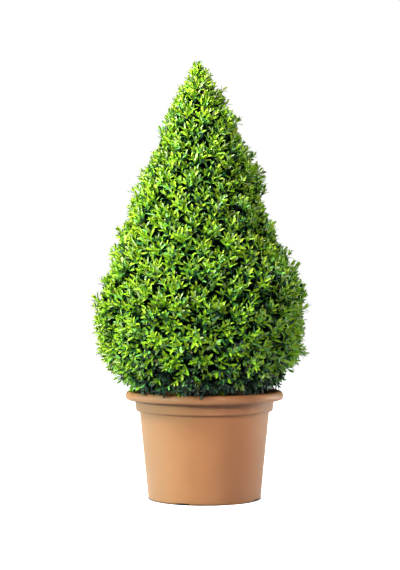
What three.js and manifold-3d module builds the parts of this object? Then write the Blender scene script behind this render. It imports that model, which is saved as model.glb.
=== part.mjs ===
// A boxwood clipped to a cone, growing in a round terracotta-coloured pot.
// Millimetres, +Z up. The origin is the centre of the pot's flat underside, and -Y is the front.
import * as THREE from "three";
import { mergeVertices } from "three/addons/utils/BufferGeometryUtils.js";
import Module from "manifold-3d";

const wasm = await Module();
wasm.setup();

// The gap left between pieces that rest on or meet each other.
const GAP = 0.3;
const UP = new THREE.Vector3(0, 0, 1);
const GOLDEN_ANGLE = Math.PI * (3 - Math.sqrt(5));
const SEED = 7;

// The pot: a tapered body, a collar above it, and a rolled lip that is hollow underneath.
const POT = {
  sides: 40,
  arcSteps: 3,
  wall: 3,
  floor: 6.5,
  baseRadius: 116.5,
  baseCorner: 4,
  bodyTop: 180,
  bodyTopRadius: 133.8,
  collarStep: 2.5,
  collarRadius: 142,
  collarTopRadius: 145,
  lipUnderside: 205,
  lipHollow: 214,
  lipRadius: 163,
  lipInnerRadius: 149,
  lipRoll: 7.5,
  height: 222,
};
// Four shallow channels across the underside, each with a round drain hole in its roof.
const DRAIN = {
  count: 4,
  firstAngle: -22.6,
  width: 29,
  depth: 3.5,
  start: 58,
  holeRadius: 7,
  holeAt: 82,
  holeSides: 12,
};

// The potting mix, filled to below the lip, heaped towards the stem and level where the stem stands on it.
const MIX = {
  rings: 6,
  edgeHeight: 196,
  heap: 7,
  levelRadius: 26,
  lump: 1.6,
  lumpLength: 9,
  crests: [3, 5, 8],
};

// The crown's clipped outline: a quarter ellipse from foot to belly, then a flank that runs up to the tip.
// Leaves may stand this far proud of it, and stay this far above the pot's lip.
const CROWN = {
  x: -8,
  y: 0,
  lean: 3,
  tip: 905,
  belly: 396,
  bellyRadius: 215,
  foot: 228,
  footRadius: 146,
  flankRoot: 0.77,
  proud: 20,
  aboveLip: 1.5,
};
// The dense core of the crown: a lumpy wall with a bare hollow inside it for the stem and boughs.
const CORE = {
  depth: 29,
  thickness: 44,
  foot: 221,
  sides: 24,
  outerRingsBelow: 4,
  outerRingsAbove: 8,
  innerRingsBelow: 3,
  innerRingsAbove: 4,
  lump: 9,
  lumpLength: 31,
  crests: [5, 8, 11],
};

// The stem, from its flared foot on the mix to its tip inside the crown.
const STEM = {
  footX: -3,
  footY: 5,
  footRadius: 13,
  tipRadius: 3.2,
  bow: 12,
  upright: 90,
  sides: 12,
  rings: 16,
  ringCrowding: 1.6,
  flareRadius: 11,
  flareHeight: 13,
  flareLobes: 5,
  lobeDepth: 0.35,
  tip: 690,
};
// The main boughs, which leave the stem on a golden-angle spiral and end inside the foliage.
const BOUGH = {
  count: 8,
  firstAngle: 0.6,
  lowestStart: 232,
  highestStart: 400,
  lowestReach: 296,
  highestReach: 610,
  radius: 6.2,
  tipRadius: 3,
  sides: 6,
  rings: 6,
  bendAt: 0.55,
  sag: 0.62,
};
// Each bough, and the stem, is carried on by a stub that is rooted this deep in the core.
const STUB = { length: 11, rootedFor: 14, sides: 4 };

// The leafy shoots that stand out of the core. Leaves are fewer than on the plant, and larger than life.
const SHOOT = {
  count: 112,
  length: 56,
  baseRadius: 3,
  tipRadius: 2.4,
  pairs: 2,
  pairSpacing: 13,
  tipBud: 5,
  tipInside: 31,
  openings: [1.08, 1, 1.2],
  leaderOpening: 0.6,
  upward: 0.62,
  spread: 0.3,
  unevenness: 5,
};
const LEAF = {
  length: 47,
  width: 20,
  thickness: 2.6,
  sunk: 0.3,
  widestAt: 0.5,
  fold: 2,
  angle: 1,
  tipAngle: 0.62,
};

const MATERIALS = {
  terracotta: new THREE.MeshStandardMaterial({ color: 0xc58c60, roughness: 0.55, metalness: 0 }),
  pottingMix: new THREE.MeshStandardMaterial({ color: 0x2b211b, roughness: 0.95, metalness: 0 }),
  bark: new THREE.MeshStandardMaterial({ color: 0x7b6a50, roughness: 0.85, metalness: 0 }),
  foliage: new THREE.MeshStandardMaterial({ color: 0x5f9a24, roughness: 0.5, metalness: 0 }),
};

// A closed geometry as a solid that can be joined and cut.
function solidOf(geometry) {
  const loose = geometry.index ? geometry.toNonIndexed() : geometry;
  const bare = new THREE.BufferGeometry().setAttribute("position", loose.getAttribute("position"));
  const merged = mergeVertices(bare, 1e-4);
  const corners = merged.index.array;
  const kept = [];
  for (let i = 0; i < corners.length; i += 3) {
    const [a, b, c] = [corners[i], corners[i + 1], corners[i + 2]];
    if (a !== b && b !== c && c !== a) kept.push(a, b, c);
  }
  return new wasm.Manifold(
    new wasm.Mesh({
      numProp: 3,
      vertProperties: merged.getAttribute("position").array,
      triVerts: new Uint32Array(kept),
    }),
  );
}

// A solid's largest body as a geometry. The other bodies are loose scraps and sealed hollows.
function geometryOf(solid) {
  const bodies = solid.decompose().sort((a, b) => b.volume() - a.volume());
  const mesh = bodies[0].getMesh();
  return new THREE.BufferGeometry()
    .setAttribute("position", new THREE.BufferAttribute(mesh.vertProperties, 3))
    .setIndex(new THREE.BufferAttribute(mesh.triVerts, 1))
    .toNonIndexed();
}

function named(name, solid, material) {
  const mesh = new THREE.Mesh(geometryOf(solid), material);
  mesh.geometry.computeVertexNormals();
  mesh.name = name;
  return mesh;
}

// Turns a profile of [radius, height] points about the vertical axis.
function turned(points, sides) {
  const profile = points.map(([radius, height]) => new THREE.Vector2(radius, height));
  return new THREE.LatheGeometry(profile, sides).rotateX(Math.PI / 2);
}

// Moves each corner of a geometry to the place that a function gives for it.
function reshaped(geometry, place) {
  const position = geometry.getAttribute("position");
  const corner = new THREE.Vector3();
  for (let i = 0; i < position.count; i++) {
    place(corner.fromBufferAttribute(position, i));
    position.setXYZ(i, corner.x, corner.y, corner.z);
  }
  return geometry;
}

// A limb along a curve: a cylinder whose rings are carried along it, with a radius for each place and side.
function limb(curve, radiusAt, sides, rings) {
  const straight = new THREE.CylinderGeometry(1, 1, 1, sides, rings);
  const isUpright = Math.abs(curve.getTangent(0.5).z) > 0.8;
  const reference = isUpright ? new THREE.Vector3(1, 0, 0) : UP;
  return reshaped(straight, (corner) => {
    const t = THREE.MathUtils.clamp(corner.y + 0.5, 0, 1);
    const along = curve.getTangent(t);
    const across = new THREE.Vector3().crossVectors(reference, along).normalize();
    const other = new THREE.Vector3().crossVectors(across, along);
    const radius = radiusAt(t, Math.atan2(corner.z, corner.x));
    const { x, z } = corner;
    corner.copy(curve.getPoint(t)).addScaledVector(across, x * radius).addScaledVector(other, z * radius);
  });
}

const tapering = (from, to) => (t) => THREE.MathUtils.lerp(from, to, t);

// The pot's whole profile, from the middle of its underside round to the middle of its inner floor.
function potProfile() {
  const { wall, baseRadius, baseCorner, bodyTop, bodyTopRadius, collarRadius, collarStep } = POT;
  const { collarTopRadius, lipUnderside, lipHollow, lipRadius, lipInnerRadius, lipRoll, height } = POT;
  const skirt = lipRadius - wall;
  const outline = new THREE.Path();
  outline.moveTo(0, 0);
  outline.lineTo(baseRadius - baseCorner, 0);
  outline.quadraticCurveTo(baseRadius, 0, baseRadius + 0.1 * baseCorner, baseCorner);
  outline.lineTo(bodyTopRadius, bodyTop);
  outline.lineTo(collarRadius - collarStep, bodyTop + collarStep / 2);
  outline.quadraticCurveTo(collarRadius, bodyTop + collarStep, collarRadius, bodyTop + 3 * collarStep);
  outline.lineTo(collarTopRadius, lipHollow);
  outline.lineTo(skirt - wall, lipHollow);
  outline.lineTo(skirt - wall, lipUnderside);
  outline.quadraticCurveTo(lipRadius, lipUnderside - 1, lipRadius, lipUnderside + lipRoll);
  outline.quadraticCurveTo(lipRadius - 1, height, lipRadius - lipRoll, height);
  outline.quadraticCurveTo(lipInnerRadius, height, lipInnerRadius, height - lipRoll);
  outline.lineTo(collarTopRadius - wall, lipUnderside + 1);
  return [...outline.getPoints(POT.arcSteps).map((point) => [point.x, point.y]), ...innerWall(0)];
}

// The pot's inner wall below the lip, from the collar down to the floor, drawn in by a clearance.
function innerWall(clearance) {
  const { wall, floor, baseRadius, bodyTop, bodyTopRadius, collarRadius, collarStep, collarTopRadius } = POT;
  return [
    [collarTopRadius - wall - clearance, MIX.edgeHeight],
    [collarRadius - wall - clearance, bodyTop + 3 * collarStep + clearance],
    [bodyTopRadius - wall - clearance, bodyTop + clearance],
    [baseRadius - wall - clearance, floor + clearance],
    [0, floor + clearance],
  ];
}

function potSolid() {
  const cutters = [];
  for (let i = 0; i < DRAIN.count; i++) {
    const angle = THREE.MathUtils.degToRad(DRAIN.firstAngle - 90 + (360 / DRAIN.count) * i);
    const length = POT.baseRadius + POT.wall - DRAIN.start;
    const channel = new THREE.BoxGeometry(length, DRAIN.width, 2 * DRAIN.depth);
    channel.translate(DRAIN.start + length / 2, 0, 0).rotateZ(angle);
    const { holeRadius, holeAt, holeSides } = DRAIN;
    const hole = new THREE.CylinderGeometry(holeRadius, holeRadius, 3 * POT.floor, holeSides);
    hole.rotateX(Math.PI / 2).translate(holeAt, 0, 0).rotateZ(angle);
    cutters.push(solidOf(channel), solidOf(hole));
  }
  return solidOf(turned(potProfile(), POT.sides)).subtract(wasm.Manifold.union(cutters));
}

// An unevenness that goes right round, between -1 and 1, with no random numbers in it: three waves, each
// with its own number of crests round the axis, that drift as the phase grows.
function ripple(crests, angle, phase) {
  return (
    0.4 * Math.sin(crests[0] * angle + phase) +
    0.3 * Math.sin(crests[1] * angle - 1.7 * phase + 1) +
    0.3 * Math.sin(crests[2] * angle + 2.9 * phase + 2)
  );
}

// The height of the mix at a distance and angle from the pot's axis.
function mixHeight(radius, angle) {
  const edge = POT.collarTopRadius - POT.wall;
  const fromStem = Math.hypot(radius * Math.cos(angle) - STEM.footX, radius * Math.sin(angle) - STEM.footY);
  const heap = MIX.heap * Math.cos((Math.PI / 2) * Math.min(1, radius / edge));
  const uneven = THREE.MathUtils.smoothstep(fromStem, MIX.levelRadius, 2 * MIX.levelRadius);
  const crumbled = heap + MIX.lump * ripple(MIX.crests, angle, radius / MIX.lumpLength);
  return MIX.edgeHeight + THREE.MathUtils.lerp(MIX.heap, crumbled, uneven);
}

function mixSolid() {
  const side = innerWall(GAP);
  const edge = side[0][0];
  const top = Array.from({ length: MIX.rings }, (_, i) => [(edge * i) / MIX.rings, MIX.edgeHeight]);
  const level = turned([...top, ...side].reverse(), POT.sides);
  const heaped = reshaped(level, (corner) => {
    const radius = Math.hypot(corner.x, corner.y);
    const isTop = corner.z > MIX.edgeHeight - GAP && radius < edge - GAP;
    if (isTop) corner.z = mixHeight(radius, Math.atan2(corner.y, corner.x));
  });
  return solidOf(heaped);
}

// The outline's radius at a height.
function outlineRadius(height) {
  const { tip, belly, bellyRadius, foot, footRadius, flankRoot } = CROWN;
  const up = Math.min(1, (height - belly) / (tip - belly));
  if (up >= 0) return bellyRadius * (1 - up) ** flankRoot;
  const down = Math.min(1, (belly - height) / (belly - foot));
  return footRadius + (bellyRadius - footRadius) * Math.sqrt(1 - down * down);
}

// The outline's outward direction at a height, as [outwards, up].
function outlineNormal(height) {
  const step = 2;
  const slope = (outlineRadius(height + step) - outlineRadius(height - step)) / (2 * step);
  return new THREE.Vector2(1, -slope).normalize();
}

// Where the crown's own axis stands at a height: it leans a little as it rises.
function axisAt(height) {
  const risen = THREE.MathUtils.smoothstep(height, POT.height, CROWN.tip);
  return new THREE.Vector3(CROWN.x - CROWN.lean * risen, CROWN.y, height);
}

const coreOuter = (height) => Math.max(0, outlineRadius(height) - CORE.depth);
const coreInner = (height) => Math.max(0, coreOuter(height) - CORE.thickness);

// The height at which the core's outside, or its hollow, closes on the axis.
function closingHeight(radiusAt) {
  let height = CROWN.belly;
  while (radiusAt(height) > 0) height += 1;
  return height;
}

// One side of the core's wall, in rings that are closer together where it curves in to its foot.
function coreSide(radiusAt, ringsBelow, ringsAbove) {
  const top = closingHeight(radiusAt);
  const points = [];
  for (let i = 0; i < ringsBelow; i++) {
    const height = CROWN.belly - (CROWN.belly - CORE.foot) * Math.cos((Math.PI / 2) * (i / ringsBelow));
    points.push([radiusAt(height), height]);
  }
  for (let i = 0; i < ringsAbove; i++) {
    const height = THREE.MathUtils.lerp(CROWN.belly, top, i / ringsAbove);
    points.push([radiusAt(height), height]);
  }
  return [...points, [0, top]];
}

function coreSolid() {
  const inside = coreSide(coreInner, CORE.innerRingsBelow, CORE.innerRingsAbove);
  const outside = coreSide(coreOuter, CORE.outerRingsBelow, CORE.outerRingsAbove);
  const profile = [...inside.reverse(), ...outside];
  const raw = turned(profile, CORE.sides);
  const lumpy = reshaped(raw, (corner) => {
    const radius = Math.hypot(corner.x, corner.y);
    const angle = Math.atan2(corner.y, corner.x);
    const isOutside = radius > 1 && radius > (coreOuter(corner.z) + coreInner(corner.z)) / 2;
    const lump = isOutside ? CORE.lump * ripple(CORE.crests, angle, corner.z / CORE.lumpLength) : 0;
    const centre = axisAt(corner.z);
    corner.x = centre.x + (radius + lump) * Math.cos(angle);
    corner.y = centre.y + (radius + lump) * Math.sin(angle);
  });
  return solidOf(lumpy);
}

// The stem's line. It leaves the mix upright, so that its foot is cut level, and bows a little.
function stemCurve() {
  const foot = new THREE.Vector3(STEM.footX, STEM.footY, MIX.edgeHeight + MIX.heap + GAP);
  const tip = axisAt(STEM.tip);
  const rise = foot.clone().addScaledVector(UP, STEM.upright);
  const bend = foot.clone().lerp(tip, 0.5).add(new THREE.Vector3(STEM.bow, -STEM.bow, 0));
  return new THREE.CubicBezierCurve3(foot, rise, bend, tip);
}

// The stem tapers all the way, and flares into lobes over its roots.
function stemRadius(t, side, height, grownBy) {
  const flare = STEM.flareRadius * Math.exp(-height / STEM.flareHeight);
  const lobes = 1 + STEM.lobeDepth * Math.sin(STEM.flareLobes * side);
  return THREE.MathUtils.lerp(STEM.footRadius, STEM.tipRadius, t) + flare * lobes + grownBy;
}

// The rings crowd towards the foot, where the flare is.
function stemSolid(grownBy = 0) {
  const line = stemCurve();
  const foot = line.getPoint(0).z;
  const crowded = new THREE.Curve();
  crowded.getPoint = (t) => line.getPoint(t ** STEM.ringCrowding);
  crowded.getTangent = (t) => line.getTangent(t ** STEM.ringCrowding);
  const radiusAt = (t, side) => {
    const height = crowded.getPoint(t).z - foot;
    return stemRadius(t ** STEM.ringCrowding, side, height, grownBy);
  };
  return solidOf(limb(crowded, radiusAt, STEM.sides, STEM.rings));
}

// The place on a curve where it first reaches a height.
function placeAtHeight(curve, height) {
  let t = 0;
  while (t < 1 && curve.getPoint(t).z < height) t += 0.005;
  return curve.getPoint(t);
}

// A bough's line: out from the stem's middle, curving upwards to where it enters the core.
function boughCurve(index) {
  const share = index / (BOUGH.count - 1);
  const angle = BOUGH.firstAngle + GOLDEN_ANGLE * index;
  const out = new THREE.Vector3(Math.cos(angle), Math.sin(angle), 0);
  const startHeight = THREE.MathUtils.lerp(BOUGH.lowestStart, BOUGH.highestStart, share);
  const start = placeAtHeight(stemCurve(), startHeight);
  const reach = THREE.MathUtils.lerp(BOUGH.lowestReach, BOUGH.highestReach, share);
  const end = axisAt(reach).addScaledVector(out, coreInner(reach));
  const bend = start.clone().lerp(end, BOUGH.bendAt);
  bend.z = THREE.MathUtils.lerp(start.z, end.z, BOUGH.bendAt * BOUGH.sag);
  return new THREE.QuadraticBezierCurve3(start, bend, end);
}

// A limb ends a stub's length short of the core. The stub goes on from there, rooted in the core.
function limbEnd(curve) {
  return 1 - STUB.length / curve.getLength();
}

function boughSolid(index, stemGrown) {
  const whole = boughCurve(index);
  const kept = new THREE.Curve();
  kept.getPoint = (t) => whole.getPoint(t * limbEnd(whole));
  kept.getTangent = (t) => whole.getTangent(t * limbEnd(whole));
  const shape = limb(kept, tapering(BOUGH.radius, BOUGH.tipRadius), BOUGH.sides, BOUGH.rings);
  return solidOf(shape).subtract(stemGrown);
}

function stubSolid(start, direction, length, radius) {
  const finish = start.clone().addScaledVector(direction, length);
  return solidOf(limb(new THREE.LineCurve3(start, finish), () => radius, STUB.sides, 1));
}

// The stubs that the core hangs on: one for the stem's tip, and one for each bough's.
function stubSolids() {
  const stem = stemCurve();
  const aboveTip = stem.getPoint(1).addScaledVector(UP, GAP);
  const roof = closingHeight(coreInner);
  const stubs = [stubSolid(aboveTip, UP, roof + STUB.rootedFor - aboveTip.z, STEM.tipRadius)];
  for (let i = 0; i < BOUGH.count; i++) {
    const whole = boughCurve(i);
    const direction = whole.getTangent(limbEnd(whole));
    const start = whole.getPoint(limbEnd(whole)).addScaledVector(direction, GAP);
    stubs.push(stubSolid(start, direction, STUB.length + STUB.rootedFor, BOUGH.tipRadius));
  }
  return stubs;
}

// One leaf: a long flat octahedron, folded up along its midrib, with its root sunk behind the middle.
function leafSolid(root, along, faceUp) {
  const { length, width, thickness, sunk, widestAt, fold } = LEAF;
  const across = new THREE.Vector3().crossVectors(faceUp, along).normalize();
  const normal = new THREE.Vector3().crossVectors(along, across).normalize();
  const leaf = reshaped(new THREE.OctahedronGeometry(1, 0), (corner) => {
    const { x, y, z } = corner;
    const lengthwise = x < -0.5 ? -sunk : x > 0.5 ? length : length * widestAt;
    corner.copy(root).addScaledVector(along, lengthwise);
    corner.addScaledVector(across, (y * width) / 2);
    corner.addScaledVector(normal, (z * thickness) / 2 + Math.abs(y) * fold);
  });
  return solidOf(leaf);
}

// One shoot: a four-sided twig, as the plant's own are, with opposite leaf pairs. Each pair is a quarter
// turn on from the last, so that every leaf stands on a flat side. Leaves that fail the test are skipped.
function shootSolid(place, opening, keepsToItsSpace) {
  const line = new THREE.LineCurve3(new THREE.Vector3(0, 0, -SHOOT.length), new THREE.Vector3());
  const twig = limb(line, tapering(SHOOT.baseRadius, SHOOT.tipRadius), 4, 1).rotateZ(Math.PI / 4);
  const pieces = [solidOf(twig)];
  for (let pair = 0; pair < SHOOT.pairs; pair++) {
    const node = new THREE.Vector3(0, 0, -SHOOT.tipBud - pair * SHOOT.pairSpacing);
    const angle = (pair === 0 ? LEAF.tipAngle : LEAF.angle) * opening;
    for (const half of [0, Math.PI]) {
      const outwards = new THREE.Vector3(1, 0, 0).applyAxisAngle(UP, half + (pair * Math.PI) / 2);
      const along = UP.clone().multiplyScalar(Math.cos(angle)).addScaledVector(outwards, Math.sin(angle));
      pieces.push(leafSolid(node, along, UP));
    }
  }
  const [stood, ...leaves] = pieces.map((piece) => piece.transform(place.elements));
  const kept = leaves.filter(keepsToItsSpace);
  return kept.length > 0 && keepsToItsSpace(stood) ? wasm.Manifold.union([stood, ...kept]) : null;
}

// Whether a piece stays within reach of the outline, above the pot's lip, and clear of the stem and boughs.
function spaceTest(limbs) {
  const lipFrom = POT.lipInnerRadius - POT.lipRoll;
  return (piece) => {
    const corners = piece.getMesh().vertProperties;
    for (let i = 0; i < corners.length; i += 3) {
      const [x, y, height] = corners.subarray(i, i + 3);
      const centre = axisAt(height);
      if (Math.hypot(x - centre.x, y - centre.y) > outlineRadius(height) + CROWN.proud) return false;
      if (height < POT.height + CROWN.aboveLip && Math.hypot(x, y) > lipFrom) return false;
    }
    return piece.minGap(limbs, 2 * GAP) > GAP;
  };
}

// Heights that share the crown's surface out evenly, one for each shoot.
function evenHeights(count) {
  const steps = 400;
  const areas = [0];
  for (let i = 1; i <= steps; i++) {
    const height = THREE.MathUtils.lerp(CROWN.foot, CROWN.tip, (i - 0.5) / steps);
    areas.push(areas[i - 1] + outlineRadius(height) / outlineNormal(height).x);
  }
  return Array.from({ length: count }, (_, i) => {
    const wanted = (areas[steps] * (i + 0.5)) / count;
    const found = areas.findIndex((area) => area >= wanted);
    return THREE.MathUtils.lerp(CROWN.foot, CROWN.tip, found / steps);
  });
}

// The matrix that stands a shoot with its tip at a point, along a direction, turned about itself.
function placed(tip, along, turn) {
  const stood = new THREE.Quaternion().setFromUnitVectors(UP, along);
  stood.multiply(new THREE.Quaternion().setFromAxisAngle(UP, turn));
  return new THREE.Matrix4().compose(tip, stood, new THREE.Vector3(1, 1, 1));
}

// Shoots stand on a golden-angle spiral over the outline, and grow outwards and upwards with a seeded
// spread. The last one is the leader, at the very tip.
function shootPlaces() {
  THREE.MathUtils.seededRandom(SEED);
  const random = () => THREE.MathUtils.seededRandom() * 2 - 1;
  const places = evenHeights(SHOOT.count - 1).map((height, i) => {
    const angle = GOLDEN_ANGLE * i;
    const normal = outlineNormal(height);
    const out = new THREE.Vector3(Math.cos(angle), Math.sin(angle), 0);
    const along = out.clone().multiplyScalar(normal.x).addScaledVector(UP, normal.y);
    along.addScaledVector(UP, SHOOT.upward * THREE.MathUtils.smoothstep(height, CROWN.foot, CROWN.belly));
    along.add(new THREE.Vector3(random(), random(), random()).multiplyScalar(SHOOT.spread)).normalize();
    const reach = axisAt(height).addScaledVector(out, outlineRadius(height) + SHOOT.unevenness * random());
    const place = placed(reach.addScaledVector(along, -SHOOT.tipInside), along, Math.PI * random());
    return { place, opening: SHOOT.openings[i % SHOOT.openings.length] };
  });
  const opening = SHOOT.leaderOpening;
  const leader = axisAt(CROWN.tip);
  leader.z -= LEAF.length * Math.cos(LEAF.tipAngle * opening) - SHOOT.tipBud;
  return [...places, { place: placed(leader, UP, 0), opening }];
}

// The crown: the core, the stubs that carry it, and every shoot, joined into one solid.
function crownSolid(limbs) {
  const keepsToItsSpace = spaceTest(limbs);
  const shoots = shootPlaces().map(({ place, opening }) => shootSolid(place, opening, keepsToItsSpace));
  return wasm.Manifold.union([coreSolid(), ...stubSolids(), ...shoots.filter((shoot) => shoot !== null)]);
}

const topiary = new THREE.Group();
topiary.add(named("pot", potSolid(), MATERIALS.terracotta));
topiary.add(named("potting_mix", mixSolid(), MATERIALS.pottingMix));
const stem = stemSolid();
topiary.add(named("stem", stem, MATERIALS.bark));
const stemGrown = stemSolid(GAP);
const boughs = Array.from({ length: BOUGH.count }, (_, i) => boughSolid(i, stemGrown));
boughs.forEach((bough, i) => topiary.add(named(`bough_${i + 1}`, bough, MATERIALS.bark)));
topiary.add(named("clipped_crown", crownSolid(wasm.Manifold.union([stem, ...boughs])), MATERIALS.foliage));

export default topiary;
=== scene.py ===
# %% [markdown]
# # A clipped boxwood cone in its pot
#
# This lesson dresses a potted boxwood that is clipped to a cone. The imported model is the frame: it says where
# the pot stands, how the stem rises and how far the crown reaches. Every new piece is worked out with numpy,
# in metres, in that same frame, and goes straight into a mesh.

# %% Load the frame
import math

import bpy
import numpy as np
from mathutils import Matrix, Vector


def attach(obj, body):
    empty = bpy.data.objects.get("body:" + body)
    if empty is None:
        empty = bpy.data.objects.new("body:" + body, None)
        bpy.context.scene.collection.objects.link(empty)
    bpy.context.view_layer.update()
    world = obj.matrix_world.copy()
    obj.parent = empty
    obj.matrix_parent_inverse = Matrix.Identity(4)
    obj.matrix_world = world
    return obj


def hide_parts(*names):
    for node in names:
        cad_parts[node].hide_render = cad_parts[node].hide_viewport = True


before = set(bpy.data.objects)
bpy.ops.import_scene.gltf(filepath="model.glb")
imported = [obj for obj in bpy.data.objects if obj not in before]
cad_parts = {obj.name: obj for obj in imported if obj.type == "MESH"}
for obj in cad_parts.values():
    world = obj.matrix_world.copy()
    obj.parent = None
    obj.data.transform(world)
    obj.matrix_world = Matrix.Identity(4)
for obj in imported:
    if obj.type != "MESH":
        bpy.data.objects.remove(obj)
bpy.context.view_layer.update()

# %% [markdown]
# ## The camera
#
# A potted plant in a catalogue is photographed from a few steps away with a long lens, level, at about the
# middle of its height, so that the pot's sides and the cone stay straight. Only the lip's ellipse gives the
# distance away. The same view is set here before anything is made, so each piece is judged in it. A camera
# that isn't turned looks straight down, so a quarter turn makes it look level.

# %% Stand the camera
CAMERA_PLACE = (-0.0093, -3.05, 0.441)
FOCAL_LENGTH = 92.84
SENSOR_LENGTH = 36
QUARTER_TURN = math.radians(90)

camera = bpy.data.objects.new("studio_camera", bpy.data.cameras.new("studio_camera"))
camera.data.lens = FOCAL_LENGTH
camera.data.sensor_width = SENSOR_LENGTH
camera.location = CAMERA_PLACE
camera.rotation_euler = (QUARTER_TURN, 0, 0)
bpy.context.scene.collection.objects.link(camera)
bpy.context.scene.camera = camera
print("camera", CAMERA_PLACE, "lens", FOCAL_LENGTH)

# %% [markdown]
# ## From arrays to meshes
#
# A plant has far too many points to place one by one. Each shape here is a whole array of points and a whole
# array of faces, and `new_piece` hands both to Blender in one go. It also says what the piece rides on, which
# CAD nodes it stands for and which finish it has.

# %% A helper that turns arrays into a piece
def new_piece(name, points, face_sets, finish, slot, nodes):
    """One mesh object from an array of points and arrays of faces, each with one row of corners a face."""
    corners = np.concatenate([faces.ravel() for faces in face_sets])
    sizes = np.concatenate([np.full(len(faces), faces.shape[1]) for faces in face_sets])
    mesh = bpy.data.meshes.new(name)
    mesh.vertices.add(len(points))
    mesh.vertices.foreach_set("co", np.asarray(points, np.float32).ravel())
    mesh.loops.add(len(corners))
    mesh.loops.foreach_set("vertex_index", corners.astype(np.int32))
    mesh.polygons.add(len(sizes))
    mesh.polygons.foreach_set("loop_start", (np.cumsum(sizes) - sizes).astype(np.int32))
    mesh.update(calc_edges=True)
    mesh.validate()
    mesh.shade_smooth()
    mesh.materials.append(finish)
    piece = bpy.data.objects.new(name, mesh)
    bpy.context.scene.collection.objects.link(piece)
    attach(piece, "root")
    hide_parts(*nodes)
    print(f"{name}: {int((sizes - 2).sum())} triangles")
    return piece


# %% The faces of tubes
def tube_faces(rings, sides, count=1):
    """Faces for tubes of rings, each with a point at its root and one at its tip that close it.

    Corner (i, j) of a tube is number i * sides + j, then come the root and the tip. Every face is a row of
    corners that runs anticlockwise seen from outside, for rings that run along the tube.
    """
    ring, side = np.meshgrid(np.arange(rings - 1), np.arange(sides), indexing="ij")
    beside = (side + 1) % sides
    walls = np.stack([ring * sides + side, ring * sides + beside], -1)
    walls = np.concatenate([walls, walls[..., ::-1] + sides], -1).reshape(-1, 4)
    last = (rings - 1) * sides
    side, beside = side[0], beside[0]
    root, tip = np.full(sides, rings * sides), np.full(sides, rings * sides + 1)
    closed_root = np.stack([root, beside, side], -1)
    closed_tip = np.stack([tip, last + side, last + beside], -1)
    ends = np.concatenate([closed_root, closed_tip])
    offset = np.arange(count)[:, None, None] * (rings * sides + 2)
    return (walls + offset).reshape(-1, 4), (ends + offset).reshape(-1, 3)


print("a tube of 3 rings of 4 sides has", [len(faces) for faces in tube_faces(3, 4)], "walls and end faces")

# %% Vectors and curves in bulk
SMALLEST_LENGTH = 1e-9


def unit(vectors):
    """Each vector divided by its own length."""
    return vectors / np.maximum(np.linalg.norm(vectors, axis=-1, keepdims=True), SMALLEST_LENGTH)


def smoothstep(values, low, high):
    """0 below low, 1 above high, and 3s² - 2s³ of the share s in between."""
    share = np.clip((values - low) / (high - low), 0, 1)
    return share * share * (3 - 2 * share)


def bezier(start, bend, end, share):
    """The curve (1-t)² start + 2t(1-t) bend + t² end, for each limb and each share t of its length."""
    t = share[..., None]
    return (1 - t) ** 2 * start[:, None] + 2 * t * (1 - t) * bend[:, None] + t**2 * end[:, None]


def even_shares(count):
    """The shares 0 to 1 of a curve's length at that many even samples, as one row for every limb."""
    return np.linspace(0, 1, count)[None]


print("halfway over the smooth step:", float(smoothstep(0.5, 0, 1)))

# %% Swept and turned forms
STEEP = 0.8


def swept(centres, radius):
    """Limbs of rings carried along lines of centres, with a radius for each ring and side.

    A ring stands square to its line: its corner at the angle a lies at radius times (cos a · across +
    sin a · other), where across and other are two directions square to the line and to each other. Across is
    square to x for a steep limb and to z for any other.
    """
    count, rings, sides = radius.shape
    along = unit(np.gradient(centres, axis=1))
    steep = np.abs(along.mean(1)[:, 2]) > STEEP
    reference = np.where(steep[:, None], (1.0, 0.0, 0.0), (0.0, 0.0, 1.0))[:, None]
    across = unit(np.cross(reference, along))[:, :, None]
    other = np.cross(along, across[:, :, 0])[:, :, None]
    angle = np.linspace(0, 2 * np.pi, sides, endpoint=False)[:, None]
    around = np.cos(angle) * across + np.sin(angle) * other
    walls = centres[:, :, None] + radius[..., None] * around
    ends = np.stack([centres[:, 0], centres[:, -1]], 1)
    points = np.concatenate([walls.reshape(count, -1, 3), ends], 1)
    return points.reshape(-1, 3), tube_faces(rings, sides, count)


def turned(profile, sides):
    """A profile of (radius, height) turned about the vertical axis. Its two ends lie on the axis."""
    angle = np.linspace(0, 2 * np.pi, sides, endpoint=False)
    radius, height = profile[1:-1, 0, None], profile[1:-1, 1, None]
    walls = np.stack([radius * np.cos(angle), radius * np.sin(angle), height + 0 * angle], -1)
    ends = np.array([[0, 0, profile[0, 1]], [0, 0, profile[-1, 1]]])
    return np.concatenate([walls.reshape(-1, 3), ends]), tube_faces(len(radius), sides)


# %% Smooth unevenness from a lattice of seeded numbers
SEED = 7
LATTICE_SIDE = 32
LATTICE = np.random.default_rng(SEED).uniform(-1, 1, (LATTICE_SIDE,) * 3)
# Places moved by this many metres meet other numbers, so their pattern is another one.
ELSEWHERE = 1


def unevenness(places, size):
    """A smooth value between -1 and 1 at each place, with lumps about `size` metres across.

    The eight numbers of a repeating lattice that stand round a place each count by how near they are, with
    the share along each side smoothed as 3s² - 2s³.
    """
    cells = np.asarray(places) / size
    low = np.floor(cells).astype(int)
    share = smoothstep(cells - low, 0, 1)
    total = np.zeros(cells.shape[:-1])
    for corner in np.ndindex(2, 2, 2):
        number = LATTICE[tuple(np.moveaxis((low + corner) % LATTICE_SIDE, -1, 0))]
        total += number * np.prod(np.where(corner, share, 1 - share), axis=-1)
    return total


print("lattice", LATTICE.shape, "mean unevenness", round(float(LATTICE.mean()), 4))

# %% [markdown]
# ## The plastic of the pot
#
# The pot is a satin terracotta-coloured plastic. Real ones are dull rather than glossy, a little paler where
# they have been scuffed, and never quite even in tone. Three noise patterns on Object coordinates give that:
# a broad one for the tone, a fine one for the moulded grain, and one that is stretched round the pot for the
# fine scuffs that stacking leaves. They vary the colour, the roughness and the bump by small amounts.

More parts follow.
